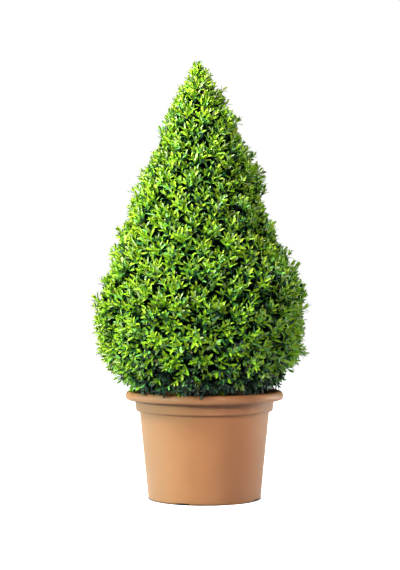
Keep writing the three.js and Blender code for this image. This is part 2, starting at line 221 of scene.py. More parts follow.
# %% Helpers for materials
COLOUR_SOCKETS = (6, 7)
COLOUR_RESULT = 2


def bare_material(name):
    """A material with a Principled shader, and the handles to go on building it."""
    material = bpy.data.materials.new(name)
    material.use_nodes = True
    nodes = material.node_tree.nodes
    return material, nodes, material.node_tree.links, nodes["Principled BSDF"]


def noise(nodes, links, scale, detail, stretch=(1, 1, 1)):
    """A noise pattern on Object coordinates, stretched by a Mapping node. Gives its value's socket."""
    place = nodes.new("ShaderNodeTexCoord")
    mapping = nodes.new("ShaderNodeMapping")
    mapping.inputs["Scale"].default_value = stretch
    pattern = nodes.new("ShaderNodeTexNoise")
    pattern.inputs["Scale"].default_value = scale
    pattern.inputs["Detail"].default_value = detail
    links.new(place.outputs["Object"], mapping.inputs["Vector"])
    links.new(mapping.outputs["Vector"], pattern.inputs["Vector"])
    return pattern.outputs["Fac"]


def ramp(nodes, links, value, stops):
    """A colour ramp over a value. Each stop is a place between 0 and 1 and a colour."""
    chosen = nodes.new("ShaderNodeValToRGB")
    elements = chosen.color_ramp.elements
    while len(elements) < len(stops):
        elements.new(0.5)
    for element, (place, colour) in zip(elements, stops):
        element.position = place
        element.color = (*colour, 1)
    links.new(value, chosen.inputs["Fac"])
    return chosen.outputs["Color"]


def multiplied(nodes, links, first, second):
    """Two colours multiplied. A Mix node has sockets for each kind of value, so colours go by number."""
    mix = nodes.new("ShaderNodeMix")
    mix.data_type = "RGBA"
    mix.blend_type = "MULTIPLY"
    mix.inputs["Factor"].default_value = 1.0
    for socket, colour in zip(COLOUR_SOCKETS, (first, second)):
        links.new(colour, mix.inputs[socket])
    return mix.outputs[COLOUR_RESULT]


def mapped(nodes, links, value, source, target, kind="LINEAR"):
    """A value carried from one range to another, evenly or as a smooth step, and held at the ends."""
    change = nodes.new("ShaderNodeMapRange")
    change.interpolation_type = kind
    for socket, number in zip(("From Min", "From Max", "To Min", "To Max"), (*source, *target)):
        change.inputs[socket].default_value = number
    links.new(value, change.inputs["Value"])
    return change.outputs["Result"]


def bumped(nodes, links, value, strength, distance, under=None):
    """A bump from a value, on top of another bump if there is one."""
    bump = nodes.new("ShaderNodeBump")
    bump.inputs["Strength"].default_value = strength
    bump.inputs["Distance"].default_value = distance
    links.new(value, bump.inputs["Height"])
    if under is not None:
        links.new(under, bump.inputs["Normal"])
    return bump.outputs["Normal"]


# %% The pot's finish
PLASTIC_TONES = [
    (0.30, (0.424, 0.168, 0.061)),
    (0.52, (0.455, 0.183, 0.067)),
    (0.72, (0.486, 0.200, 0.076)),
]
SCUFF_TONES = [(0.62, (1.0, 1.0, 1.0)), (0.72, (1.13, 1.12, 1.10))]
PLASTIC_ROUGHNESS = (0.42, 0.60)
# Each pattern has a scale, a detail and, where it needs one, a stretch along x, y and z.
TONE_PATTERN = (7, 4)
GRAIN_PATTERN = (900, 2)
SCUFF_PATTERN = (16, 6, (1, 1, 26))
# Each bump has a strength and a height in metres.
GRAIN_BUMP = (0.12, 0.0004)
SCUFF_BUMP = (0.10, 0.0006)


def terracotta_plastic():
    """The colour is the tone times the scuffs, which also dull the plastic. Scuffs and grain raise it."""
    material, nodes, links, shader = bare_material("terracotta_plastic")
    tone = ramp(nodes, links, noise(nodes, links, *TONE_PATTERN), PLASTIC_TONES)
    scuffs = noise(nodes, links, *SCUFF_PATTERN)
    worn = multiplied(nodes, links, tone, ramp(nodes, links, scuffs, SCUFF_TONES))
    links.new(worn, shader.inputs["Base Color"])
    links.new(mapped(nodes, links, scuffs, (0, 1), PLASTIC_ROUGHNESS), shader.inputs["Roughness"])
    grain = bumped(nodes, links, noise(nodes, links, *GRAIN_PATTERN), *GRAIN_BUMP)
    links.new(bumped(nodes, links, scuffs, *SCUFF_BUMP, grain), shader.inputs["Normal"])
    return material


terracotta = terracotta_plastic()
print("finish", terracotta.name)

# %% [markdown]
# ## The pot
#
# The pot could be modelled face by face, but it is a turned shape, so one profile says it all: a tapered
# body, a step up to the collar, and a lip that rolls out over the collar and stays hollow underneath, as a
# moulded lip does. The profile is the CAD one with finer arcs. The drain channels across the underside aren't
# turned, so they are cut afterwards with a Boolean, which is then applied.

# %% The pot's profile
WALL = 0.003
FLOOR = 0.0065
BASE_RADIUS = 0.1165
BASE_CORNER = 0.004
BODY_TAPER = 0.1
BODY_TOP = 0.180
BODY_TOP_RADIUS = 0.1338
COLLAR_STEP = 0.0025
COLLAR_BAND = BODY_TOP + 3 * COLLAR_STEP
COLLAR_RADIUS = 0.142
COLLAR_TOP_RADIUS = 0.145
LIP_UNDERSIDE = 0.205
LIP_HOLLOW = 0.214
LIP_RADIUS = 0.163
LIP_INNER_RADIUS = 0.149
LIP_ROLL = 0.0075
LIP_EASE = 0.001
POT_HEIGHT = 0.222
MIX_EDGE = 0.196
GAP = 0.0003
ARC_STEPS = 8


def arc(start, bend, end):
    """Points of a curve that starts towards the bend point and arrives from it, without its first point."""
    ends = np.array([start]), np.array([bend]), np.array([end])
    return bezier(*ends, even_shares(ARC_STEPS + 1))[0][1:]


def straight(start, end, steps):
    """Points evenly along a straight line, without its first point."""
    return np.linspace(start, end, steps + 1)[1:]


def inner_wall(clearance):
    """The pot's inner wall, from the mix's edge down to the middle of the floor, drawn in by a clearance."""
    return np.array([
        [COLLAR_TOP_RADIUS - WALL - clearance, MIX_EDGE],
        [COLLAR_RADIUS - WALL - clearance, COLLAR_BAND + clearance],
        [BODY_TOP_RADIUS - WALL - clearance, BODY_TOP + clearance],
        [BASE_RADIUS - WALL - clearance, FLOOR + clearance],
        [0, FLOOR + clearance],
    ])


def pot_profile():
    """From the middle of the underside, up the outside, over the lip, and down to the inner floor."""
    rest = (BASE_RADIUS - BASE_CORNER, 0)
    foot = (BASE_RADIUS + BODY_TAPER * BASE_CORNER, BASE_CORNER)
    shoulder = (BODY_TOP_RADIUS, BODY_TOP)
    step = (COLLAR_RADIUS - COLLAR_STEP, BODY_TOP + COLLAR_STEP / 2)
    band = (COLLAR_RADIUS, COLLAR_BAND)
    hollow = (COLLAR_TOP_RADIUS, LIP_HOLLOW)
    skirt = LIP_RADIUS - 2 * WALL
    face = (LIP_RADIUS, LIP_UNDERSIDE + LIP_ROLL)
    crest = (LIP_RADIUS - LIP_ROLL, POT_HEIGHT)
    inside = (LIP_INNER_RADIUS, POT_HEIGHT - LIP_ROLL)
    return np.concatenate([
        [(0, 0)],
        straight((0, 0), rest, steps=4),
        arc(rest, (BASE_RADIUS, 0), foot),
        straight(foot, shoulder, steps=24),
        straight(shoulder, step, steps=2),
        arc(step, (COLLAR_RADIUS, BODY_TOP + COLLAR_STEP), band),
        straight(band, hollow, steps=5),
        straight(hollow, (skirt, LIP_HOLLOW), steps=2),
        straight((skirt, LIP_HOLLOW), (skirt, LIP_UNDERSIDE), steps=2),
        arc((skirt, LIP_UNDERSIDE), (LIP_RADIUS, LIP_UNDERSIDE - LIP_EASE), face),
        arc(face, (LIP_RADIUS - LIP_EASE, POT_HEIGHT), crest),
        arc(crest, (LIP_INNER_RADIUS, POT_HEIGHT), inside),
        straight(inside, (COLLAR_TOP_RADIUS - WALL, LIP_UNDERSIDE + LIP_EASE), steps=2),
        inner_wall(0),
    ])


print("pot profile", len(pot_profile()), "points")

# %% The cutters of the drains
DRAINS = 4
DRAIN_FROM_FRONT = -22.6
DRAIN_ANGLE = math.radians(DRAIN_FROM_FRONT - 90)
DRAIN_WIDTH = 0.029
DRAIN_DEPTH = 0.0035
DRAIN_START = 0.058
DRAIN_HOLE_RADIUS = 0.007
DRAIN_HOLE_AT = 0.082
DRAIN_HOLE_SIDES = 32


def prism(outline, low, high):
    """A closed solid that stands on a flat outline, from one height up to another."""
    count = len(outline)
    walls = [np.column_stack([outline, np.full(count, height)]) for height in (low, high)]
    middle = outline.mean(0)
    return np.concatenate([*walls, [[*middle, low], [*middle, high]]]), tube_faces(2, count)


def drain_cutters():
    """For each drain, a channel that runs out past the pot's foot and the round hole in its roof."""
    start, end, half = DRAIN_START, BASE_RADIUS + WALL, DRAIN_WIDTH / 2
    channel = np.array([[start, -half], [end, -half], [end, half], [start, half]])
    around = np.linspace(0, 2 * np.pi, DRAIN_HOLE_SIDES, endpoint=False)
    hole = np.column_stack([
        DRAIN_HOLE_AT + DRAIN_HOLE_RADIUS * np.cos(around),
        DRAIN_HOLE_RADIUS * np.sin(around),
    ])
    cutters = []
    for number in range(DRAINS):
        angle = DRAIN_ANGLE + 2 * np.pi * number / DRAINS
        turn = np.array([[np.cos(angle), np.sin(angle)], [-np.sin(angle), np.cos(angle)]])
        cutters.append(prism(channel @ turn, -DRAIN_DEPTH, DRAIN_DEPTH))
        cutters.append(prism(hole @ turn, -FLOOR, 2 * FLOOR))
    return cutters


print("drains", DRAINS, "with a channel and a hole each")

# %% Turn the pot and cut its drains
POT_SIDES = 240
SHARP_ANGLE = math.radians(38)


def cut_away(piece, cutters):
    """Cuts solids out of a piece, one Boolean for each, and applies them."""
    helpers = []
    for points, faces in cutters:
        mesh = bpy.data.meshes.new("cutter")
        mesh.from_pydata(points.tolist(), [], [row.tolist() for rows in faces for row in rows])
        helper = bpy.data.objects.new("cutter", mesh)
        bpy.context.scene.collection.objects.link(helper)
        cut = piece.modifiers.new("cut", "BOOLEAN")
        cut.operation = "DIFFERENCE"
        cut.solver = "EXACT"
        cut.object = helper
        helpers.append(helper)
    graph = bpy.context.evaluated_depsgraph_get()
    finished = bpy.data.meshes.new_from_object(piece.evaluated_get(graph))
    piece.modifiers.clear()
    piece.data = finished
    for helper in helpers:
        bpy.data.objects.remove(helper)


pot = new_piece("terracotta_pot", *turned(pot_profile(), POT_SIDES), terracotta, "terracotta", ["pot"])
cut_away(pot, drain_cutters())
pot.data.set_sharp_from_angle(angle=SHARP_ANGLE)
print("pot after the cuts:", len(pot.data.polygons), "faces")

# %% [markdown]
# ## The potting mix
#
# Under the foliage the pot is full of dark, crumbly mix, heaped a little towards the stem. It shows only in
# the dark slit between the lip and the leaves, so its surface is one turned form with lumps of two sizes, and
# some hundreds of loose crumbs lie on it, all in one joined mesh. One fine noise pattern gives both the tones
# and the relief of its finish, and so it does for bark later on, so one helper makes both.

# %% The mix's finish
MIX_TONES = [(0.3, (0.010, 0.007, 0.005)), (0.55, (0.030, 0.020, 0.013)), (0.8, (0.075, 0.050, 0.032))]
MIX_PATTERN = (260, 6)
MIX_ROUGHNESS = 0.93
MIX_BUMP = (0.8, 0.0015)


def rough_finish(name, pattern, tones, roughness, bump):
    """A dull finish whose one noise pattern gives both its tones and its relief."""
    material, nodes, links, shader = bare_material(name)
    height = noise(nodes, links, *pattern)
    links.new(ramp(nodes, links, height, tones), shader.inputs["Base Color"])
    shader.inputs["Roughness"].default_value = roughness
    links.new(bumped(nodes, links, height, *bump), shader.inputs["Normal"])
    return material


crumbly_mix = rough_finish("crumbly_mix", MIX_PATTERN, MIX_TONES, MIX_ROUGHNESS, MIX_BUMP)
print("finish", crumbly_mix.name)

# %% The surface of the mix
STEM_FOOT = np.array([-0.003, 0.005])
MIX_HEAP = 0.007
MIX_LEVEL_RADIUS = 0.026
MIX_RINGS = 56
MIX_SIDES = 160
BROAD_LUMP, BROAD_LUMP_HEIGHT = 0.018, 0.0013
FINE_LUMP, FINE_LUMP_HEIGHT = 0.005, 0.0008


def mix_height(x, y):
    """The heap is a quarter cosine wave, level round the stem, with lumps of 18 mm and 5 mm elsewhere."""
    edge = COLLAR_TOP_RADIUS - WALL
    heap = MIX_HEAP * np.cos(np.pi / 2 * np.minimum(1, np.hypot(x, y) / edge))
    places = np.stack([x, y, 0 * x], -1)
    broad = BROAD_LUMP_HEIGHT * unevenness(places, BROAD_LUMP)
    lumps = broad + FINE_LUMP_HEIGHT * unevenness(places + ELSEWHERE, FINE_LUMP)
    away = smoothstep(np.hypot(x - STEM_FOOT[0], y - STEM_FOOT[1]), MIX_LEVEL_RADIUS, 2 * MIX_LEVEL_RADIUS)
    return MIX_EDGE + MIX_HEAP + (heap + lumps - MIX_HEAP) * away


def mix_surface():
    """The mix as a turned form whose top rings are lifted to the height of the mix."""
    side = inner_wall(GAP)
    top = np.column_stack([np.linspace(side[0, 0], 0, MIX_RINGS + 1)[1:], np.full(MIX_RINGS, MIX_EDGE)])
    points, faces = turned(np.concatenate([side[::-1], top]), MIX_SIDES)
    on_top = (points[:, 2] > MIX_EDGE - GAP) & (np.hypot(points[:, 0], points[:, 1]) < side[0, 0] - GAP)
    points[on_top, 2] = mix_height(points[on_top, 0], points[on_top, 1])
    return points, faces


new_piece("mix_surface", *mix_surface(), crumbly_mix, "potting_mix", ["potting_mix"])

# %% Its loose crumbs
CRUMBS = 520
CRUMB_SIZES = (0.0012, 0.0032)
CRUMB_CORNERS = (0.6, 1.2)
CRUMB_MARGIN = 0.006
CLEAR_MIDDLE = 0.06
OCTAHEDRON = np.array([[1, 0, 0], [0, 1, 0], [-1, 0, 0], [0, -1, 0], [0, 0, 1], [0, 0, -1]], float)
OCTAHEDRON_FACES = np.array([
    [0, 1, 4], [1, 2, 4], [2, 3, 4], [3, 0, 4],
    [1, 0, 5], [2, 1, 5], [3, 2, 5], [0, 3, 5],
])


def mix_crumbs():
    """Loose crumbs: octahedra with uneven corners, spread evenly over the mix and half sunk in it.

    A crumb's distance from the middle is the edge's times the root of a share of the area, and no crumb
    draws a share below that of the clear middle.
    """
    chance = np.random.default_rng(SEED + 1)
    edge = COLLAR_TOP_RADIUS - WALL - CRUMB_MARGIN
    radius = edge * np.sqrt(chance.uniform(CLEAR_MIDDLE, 1, CRUMBS))
    angle = chance.uniform(0, 2 * np.pi, CRUMBS)
    x, y = radius * np.cos(angle), radius * np.sin(angle)
    centre = np.stack([x, y, mix_height(x, y)], -1)[:, None]
    size = chance.uniform(*CRUMB_SIZES, (CRUMBS, 1, 1))
    points = centre + size * OCTAHEDRON * chance.uniform(*CRUMB_CORNERS, (CRUMBS, *OCTAHEDRON.shape))
    faces = OCTAHEDRON_FACES + len(OCTAHEDRON) * np.arange(CRUMBS)[:, None, None]
    return points.reshape(-1, 3), [faces.reshape(-1, 3)]


new_piece("mix_crumbs", *mix_crumbs(), crumbly_mix, "potting_mix", ["potting_mix"])

# %% [markdown]
# ## The stem and the main boughs
#
# Old boxwood has thin pale bark with fine furrows that run up the wood. Colour alone would look painted on,
# so the furrows are in the mesh: each limb's radius wavers with an unevenness that is stretched along the
# limb. The lines are the CAD ones, written again: one stem that leaves the mix upright and bows a little, and
# eight boughs that leave it a golden angle apart and end inside the foliage.

# %% The bark's finish
BARK_TONES = [(0.3, (0.085, 0.060, 0.038)), (0.55, (0.20, 0.150, 0.098)), (0.8, (0.34, 0.275, 0.195))]
BARK_PATTERN = (180, 5, (1, 1, 0.25))
BARK_ROUGHNESS = 0.86
BARK_BUMP = (0.6, 0.0008)

furrowed_bark = rough_finish("furrowed_bark", BARK_PATTERN, BARK_TONES, BARK_ROUGHNESS, BARK_BUMP)
print("finish", furrowed_bark.name)

# %% The crown's outline and its axis
TIP = 0.909
BELLY = 0.3995
BELLY_RADIUS = 0.2236
FOOT = 0.2260
FOOT_RADIUS = 0.1410
FLANK_ROOT = 0.758
AXIS_X = -0.008
AXIS_LEAN = 0.003
GOLDEN_ANGLE = math.pi * (3 - math.sqrt(5))
UP = np.array([0.0, 0.0, 1.0])


def outline_radius(height):
    """A quarter ellipse from the foot to the belly, then a flank that runs almost straight to the tip.

    The flank's radius is the belly's times (1 - u) to the power of the flank's root, where u is the share of
    the way up from the belly.
    """
    up = np.clip((height - BELLY) / (TIP - BELLY), 0, 1)
    down = np.clip((BELLY - height) / (BELLY - FOOT), 0, 1)
    foot = FOOT_RADIUS + (BELLY_RADIUS - FOOT_RADIUS) * np.sqrt(1 - down**2)
    return np.where(height >= BELLY, BELLY_RADIUS * (1 - up) ** FLANK_ROOT, foot)


def axis_at(height):
    """Where the crown's middle stands at a height: it leans a little as it rises."""
    height = np.asarray(height, float)
    return np.stack([AXIS_X - AXIS_LEAN * smoothstep(height, POT_HEIGHT, TIP), 0 * height, height], -1)


print("crown", round(2 * BELLY_RADIUS, 3), "m wide at", BELLY, "m, tip at", TIP, "m")

# %% The stem's line and its bark
STEM_TIP = 0.690
STEM_BOW = 0.012
STEM_UPRIGHT = 0.090
STEM_RADII = (0.013, 0.0032)
STEM_RINGS = 220
STEM_SIDES = 72
STEM_CROWDING = 1.6
FLARE_RADIUS = 0.011
FLARE_HEIGHT = 0.013
FLARE_LOBES = 5
LOBE_DEPTH = 0.35
STEM_FURROW_DEPTH = 0.0005
BROAD_FURROW, FINE_FURROW, FINE_FURROW_PART = 0.0022, 0.0011, 0.6
FURROW_STRETCH = 10


def stem_line(share):
    """A cubic curve: (1-t)³ foot + 3t(1-t)² rise + 3t²(1-t) bend + t³ tip."""
    foot = np.array([*STEM_FOOT, MIX_EDGE + MIX_HEAP + GAP])
    tip = axis_at(STEM_TIP)
    rise = foot + STEM_UPRIGHT * UP
    bend = (foot + tip) / 2 + (STEM_BOW, -STEM_BOW, 0)
    t = np.asarray(share)[..., None]
    return (1 - t) ** 3 * foot + 3 * t * (1 - t) ** 2 * rise + 3 * t**2 * (1 - t) * bend + t**3 * tip


def furrows(centres, radius, depth):
    """Bark relief for each ring and side: a broad and a fine unevenness, drawn out ten times along."""
    sides = radius.shape[-1]
    angle = np.linspace(0, 2 * np.pi, sides, endpoint=False)
    run = np.linalg.norm(np.diff(centres, axis=1, prepend=centres[:, :1]), axis=-1).cumsum(1)[..., None]
    ring = np.stack([radius * np.cos(angle), radius * np.sin(angle), run / FURROW_STRETCH + 0 * angle], -1)
    fine = FINE_FURROW_PART * unevenness(ring + ELSEWHERE, FINE_FURROW)
    return depth * (unevenness(ring, BROAD_FURROW) + fine)


# Rings crowd towards the foot, where the flare needs them.
stem_share = np.linspace(0, 1, STEM_RINGS) ** STEM_CROWDING
stem_centres = stem_line(stem_share)[None]
stem_rise = stem_centres[0, :, 2] - stem_centres[0, 0, 2]
lobes = 1 + LOBE_DEPTH * np.sin(FLARE_LOBES * np.linspace(0, 2 * np.pi, STEM_SIDES, endpoint=False))
flare = FLARE_RADIUS * np.exp(-stem_rise / FLARE_HEIGHT)
stem_radius = (STEM_RADII[0] + (STEM_RADII[1] - STEM_RADII[0]) * stem_share)[:, None] + flare[:, None] * lobes
stem_radius = stem_radius[None] + furrows(stem_centres, stem_radius[None], STEM_FURROW_DEPTH)
new_piece("stem_bark", *swept(stem_centres, stem_radius), furrowed_bark, "bark", ["stem"])

# %% The eight main boughs
BOUGHS = 8
BOUGH_FIRST_ANGLE = 0.6
BOUGH_STARTS = (0.232, 0.400)
BOUGH_REACHES = (0.296, 0.610)
BOUGH_INSIDE = 0.073
BOUGH_RADII = (0.0062, 0.003)
BOUGH_BEND = 0.55
BOUGH_SAG = 0.62
BOUGH_RINGS = 80
BOUGH_SIDES = 28
BOUGH_FURROW_DEPTH = 0.0003
STEM_SAMPLES = 400

number = np.arange(BOUGHS)
level = number / (BOUGHS - 1)
bough_angle = BOUGH_FIRST_ANGLE + GOLDEN_ANGLE * number
bough_out = np.stack([np.cos(bough_angle), np.sin(bough_angle), 0 * bough_angle], -1)
stem_samples = stem_line(np.linspace(0, 1, STEM_SAMPLES))
start_height = np.interp(level, (0, 1), BOUGH_STARTS)
bough_start = stem_samples[np.searchsorted(stem_samples[:, 2], start_height)]
reach = np.interp(level, (0, 1), BOUGH_REACHES)
bough_end = axis_at(reach) + (outline_radius(reach) - BOUGH_INSIDE)[:, None] * bough_out
bough_bend = bough_start + BOUGH_BEND * (bough_end - bough_start)
bough_bend[:, 2] = bough_start[:, 2] + BOUGH_BEND * BOUGH_SAG * (bough_end - bough_start)[:, 2]
bough_centres = bezier(bough_start, bough_bend, bough_end, even_shares(BOUGH_RINGS))
bough_radius = np.linspace(*BOUGH_RADII, BOUGH_RINGS)[None, :, None] * np.ones((BOUGHS, 1, BOUGH_SIDES))
bough_radius = bough_radius + furrows(bough_centres, bough_radius, BOUGH_FURROW_DEPTH)
for i in range(BOUGHS):
    shape = swept(bough_centres[i : i + 1], bough_radius[i : i + 1])
    new_piece(f"bough_{i + 1}_bark", *shape, furrowed_bark, "bark", [f"bough_{i + 1}"])

# %% [markdown]
# ## How the crown grows
#
# A clipped boxwood is a wall of leafy shoots on a cage of bare twigs. It could be faked with leaves scattered
# on a cone, but then nothing would carry them. Here each level grows on the one before: limbs leave the stem
# and its leader, twigs leave the limbs, the boughs and the leader, and shoots leave the twigs. Every level is
# spread over the outline on a golden-angle spiral, and each new limb joins the nearest wood behind it. Shoots
# crowd round the end of their own twig, so the surface breaks up into sprays with dark gaps between them.

# %% Places spread over the outline
UNDER_RADIUS = 0.090
UNDER_HEIGHT = 0.2215
UNDER_ROWS = 60
OUTLINE_ROWS = 800

under = np.linspace(0, 1, UNDER_ROWS, endpoint=False)
under_height = UNDER_HEIGHT + (FOOT - UNDER_HEIGHT) * under**2
under_radius = UNDER_RADIUS + (FOOT_RADIUS - UNDER_RADIUS) * under
outline_height = np.linspace(FOOT, TIP, OUTLINE_ROWS)
profile_height = np.concatenate([under_height, outline_height])
profile_radius = np.concatenate([under_radius, outline_radius(outline_height)])
profile_step = np.stack([np.gradient(profile_radius), np.gradient(profile_height)], -1)
profile_area = np.cumsum(profile_radius * np.linalg.norm(profile_step, axis=-1))
profile_normal = unit(np.stack([profile_step[:, 1], -profile_step[:, 0]], -1))
print("crown surface", round(2 * math.pi * float(profile_area[-1]), 3), "square metres")


def spread_over_crown(count, turn=0.0):
    """Even places on the outline and its outward directions there.

    Place i takes the height below which the share (i + 0.5) / count of the surface lies, and stands i
    golden angles round the axis.
    """
    wanted = profile_area[-1] * (np.arange(count) + 0.5) / count
    row = np.interp(wanted, profile_area, np.arange(len(profile_area)))
    rows = np.arange(len(profile_area))
    radius, height = np.interp(row, rows, profile_radius), np.interp(row, rows, profile_height)
    outwards, upwards = (np.interp(row, rows, profile_normal[:, i])[:, None] for i in range(2))
    angle = turn + GOLDEN_ANGLE * np.arange(count)
    around = np.stack([np.cos(angle), np.sin(angle), 0 * angle], -1)
    return axis_at(height) + radius[:, None] * around, unit(outwards * around + upwards * UP)


# %% How wood and shoots grow towards such places
UPWARD = 0.90
DROOP = 0.55
TIP_ZONE = 0.12
LIFT_LOST_AT_TIP = 0.5
DEEPEST_PART = 0.55
DEPTH_AT_AXIS = 0.006
BEND_PART = 0.5


def nearest(places, others):
    """The number of the other place nearest to each place.

    The square of the distance is |a|² - 2a·b + |b|², and |a|² is left out, as it's the same for every b.
    """
    return ((others**2).sum(1) - 2 * places @ others.T).argmin(1)


def from_axis(places):
    """The level distance of each place from the crown's axis."""
    return np.linalg.norm((places - axis_at(places[:, 2]))[:, :2], axis=1)


def set_in(places, outward, depth, most=DEEPEST_PART):
    """Places moved inwards by a depth, but by little more than a part of their distance from the axis."""
    return places - outward * np.minimum(depth, most * from_axis(places) + DEPTH_AT_AXIS)[:, None]


def growth(places, outward, spread, chance):
    """Which way shoots point: outwards and upwards, with a seeded spread, and less upwards at both ends."""
    top_loss = LIFT_LOST_AT_TIP * smoothstep(places[:, 2], TIP - TIP_ZONE, TIP)
    lift = smoothstep(places[:, 2], FOOT, BELLY) * (1 - top_loss)
    along = outward + UPWARD * lift[:, None] * UP + spread * chance.uniform(-1, 1, places.shape)
    along[:, 2] = np.maximum(along[:, 2], -DROOP)
    return unit(along)


def grown_from(wood, tips, along, back):
    """Curves that leave the wood nearest to a point `back` metres behind each tip, and arrive along it."""
    start = wood[nearest(tips - along * np.reshape(back, (-1, 1)), wood)]
    bend = tips - along * (BEND_PART * np.linalg.norm(tips - start, axis=1))[:, None]
    return start, bend, tips


# %% The leader and the limbs
LEADER_BEND_HEIGHT = 0.78
LEADER_BEND_ASIDE = (0.004, 0.003, 0)
LEADER_TOP = 0.868
LEADER_SAMPLES = 40
LIMBS = 70
LIMB_DEPTH = 0.078
LIMB_LIFT = 0.7
LIMB_BACK = 1.2
LIMB_SAMPLES = 14

leader_bend = axis_at([LEADER_BEND_HEIGHT]) + LEADER_BEND_ASIDE
leader = (axis_at([STEM_TIP]), leader_bend, axis_at([LEADER_TOP]))
leader_line = bezier(*leader, even_shares(LEADER_SAMPLES))[0]
trunk = np.concatenate([stem_samples[stem_samples[:, 2] > BOUGH_STARTS[0]], leader_line])

limb_tip, limb_out = spread_over_crown(LIMBS)
limb_tip = set_in(limb_tip, limb_out, LIMB_DEPTH)
limb_along = unit(limb_out + LIMB_LIFT * UP)
limb_curves = grown_from(trunk, limb_tip, limb_along, LIMB_BACK * from_axis(limb_tip))
limb_line = bezier(*limb_curves, even_shares(LIMB_SAMPLES))
limb_length = np.linalg.norm(limb_curves[2] - limb_curves[0], axis=1)
print("limbs", LIMBS, "mean length", round(float(limb_length.mean()), 3))

# %% The twigs that carry a spray each
TWIGS = 340
TWIG_TURN = 1.0
TWIG_DEPTH = 0.036
TWIG_SPREAD = 0.3
TWIG_BACK = 0.052
TWIG_SAMPLES = 10
SPRAY_ASTRAY = 0.010
BARE_LIMB = 5
BARE_BOUGH = 30
BOUGH_STRIDE = 6

chance = np.random.default_rng(SEED + 2)
twig_top, twig_out = spread_over_crown(TWIGS, TWIG_TURN)
astray = chance.uniform(-SPRAY_ASTRAY, SPRAY_ASTRAY, twig_top.shape)
twig_top = twig_top + astray - (astray * twig_out).sum(1)[:, None] * twig_out
twig_tip = set_in(twig_top, twig_out, TWIG_DEPTH)
twig_along = growth(twig_tip, twig_out, TWIG_SPREAD, chance)
# Twigs leave the outer part of a limb or a bough. The inner part stays bare.
limb_wood = limb_line[:, BARE_LIMB:].reshape(-1, 3)
bough_wood = bough_centres[:, BARE_BOUGH::BOUGH_STRIDE].reshape(-1, 3)
old_wood_places = np.concatenate([limb_wood, bough_wood, leader_line])
twig_curves = grown_from(old_wood_places, twig_tip, twig_along, TWIG_BACK)
twig_line = bezier(*twig_curves, even_shares(TWIG_SAMPLES))
print("twigs", TWIGS)

# %% [markdown]
# ## Where the plant leaves the true cone
#
# No shears follow a formula. In the photograph the outline swells and dips along both sides, and in front the
# foliage hangs down over the lip. A drawn outline could repeat every leaf of it, but it would hold only from
# one side. So the swells and dips are a few spots on the surface, about a hand wide, which push the shoots
# out or draw them in, and the sprays that stand out past the lip in front sag by uneven amounts.

# %% Where the shears left the crown fuller or cut it closer
RIGHT, LEFT, FRONT = 0.0, math.pi, -math.pi / 2
SAG_ANGLE = FRONT - 0.2
# Each spot has its angle round the axis, its height, how far it stands out and its spread in height.
SHEAR_SPOTS = [
    (LEFT, 0.866, -0.009, 0.008),
    (LEFT, 0.846, 0.004, 0.010),
    (LEFT, 0.782, 0.005, 0.020),
    (LEFT, 0.735, -0.010, 0.018),
    (LEFT, 0.692, -0.010, 0.016),
    (LEFT, 0.613, 0.003, 0.025),
    (LEFT, 0.530, -0.006, 0.020),
    (LEFT, 0.475, -0.004, 0.025),
    (LEFT, 0.288, 0.027, 0.026),
    (LEFT, 0.236, -0.015, 0.018),
    (RIGHT, 0.884, 0.004, 0.006),
    (RIGHT, 0.866, -0.009, 0.008),
    (RIGHT, 0.848, 0.008, 0.008),
    (RIGHT, 0.790, 0.006, 0.030),
    (RIGHT, 0.715, 0.008, 0.030),
    (RIGHT, 0.602, -0.012, 0.030),
    (RIGHT, 0.535, -0.011, 0.020),
    (RIGHT, 0.456, 0.028, 0.032),
    (RIGHT, 0.400, -0.008, 0.020),
    (RIGHT, 0.335, -0.005, 0.020),
    (RIGHT, 0.285, 0.020, 0.018),
    (RIGHT, 0.240, -0.004, 0.016),
    (SAG_ANGLE, 0.230, 0.022, 0.016),
]
SPOT_ANGLE = 0.9


def sheared(places):
    """Places moved level out or in at spots, each a bell over the angle round the axis and the height."""
    outwards = places - axis_at(places[:, 2])
    angle = np.arctan2(outwards[:, 1], outwards[:, 0])
    rise = np.zeros(len(places))
    for spot_angle, spot_height, spot_rise, spot_spread in SHEAR_SPOTS:
        turn = np.angle(np.exp(1j * (angle - spot_angle))) / SPOT_ANGLE
        rise += spot_rise * np.exp(-turn**2 - ((places[:, 2] - spot_height) / spot_spread) ** 2)
    return places + rise[:, None] * unit(outwards)


print("shear spots", len(SHEAR_SPOTS))

# %% Where the foliage sags over the lip
SAG = 0.026
LEAST_SAG_PART = 0.1
SAG_HEIGHTS = (FOOT + 0.015, FOOT + 0.045)


def hung_over_lip(places, spray_of_place):
    """Places just outside the lip in front sag over it, each spray by its own part of the most sag."""
    outside = smoothstep(np.hypot(places[:, 0], places[:, 1]), LIP_RADIUS, LIP_RADIUS + LIP_ROLL)
    low = 1 - smoothstep(places[:, 2], *SAG_HEIGHTS)
    turn = (np.arctan2(places[:, 1], places[:, 0]) - SAG_ANGLE) / SPOT_ANGLE
    own = np.random.default_rng(SEED + 3).uniform(LEAST_SAG_PART, 1, TWIGS)[spray_of_place]
    return places - (SAG * own * outside * low * np.exp(-turn**2))[:, None] * UP


# %% How deep each leafy shoot ends below the outline
SHOOTS = 3250
SHOOT_TURN = 2.0
TIP_INSIDE = 0.007
SPRAY_RADIUS = 0.024
SPRAY_DOME, DOME_LIMIT = 0.009, 1.5
SPRAY_DEPTHS = (-0.003, 0.011)
SHOOT_DEPTHS = (-0.005, 0.007)
HOLLOW_DEPTH, HOLLOW_SIZE = 0.004, 0.060
PROUD_SHARE, PROUD, LEAST_PROUD_PART = 0.10, 0.012, 0.5
FOOT_EVENNESS, FOOT_ZONE = 0.3, 0.03

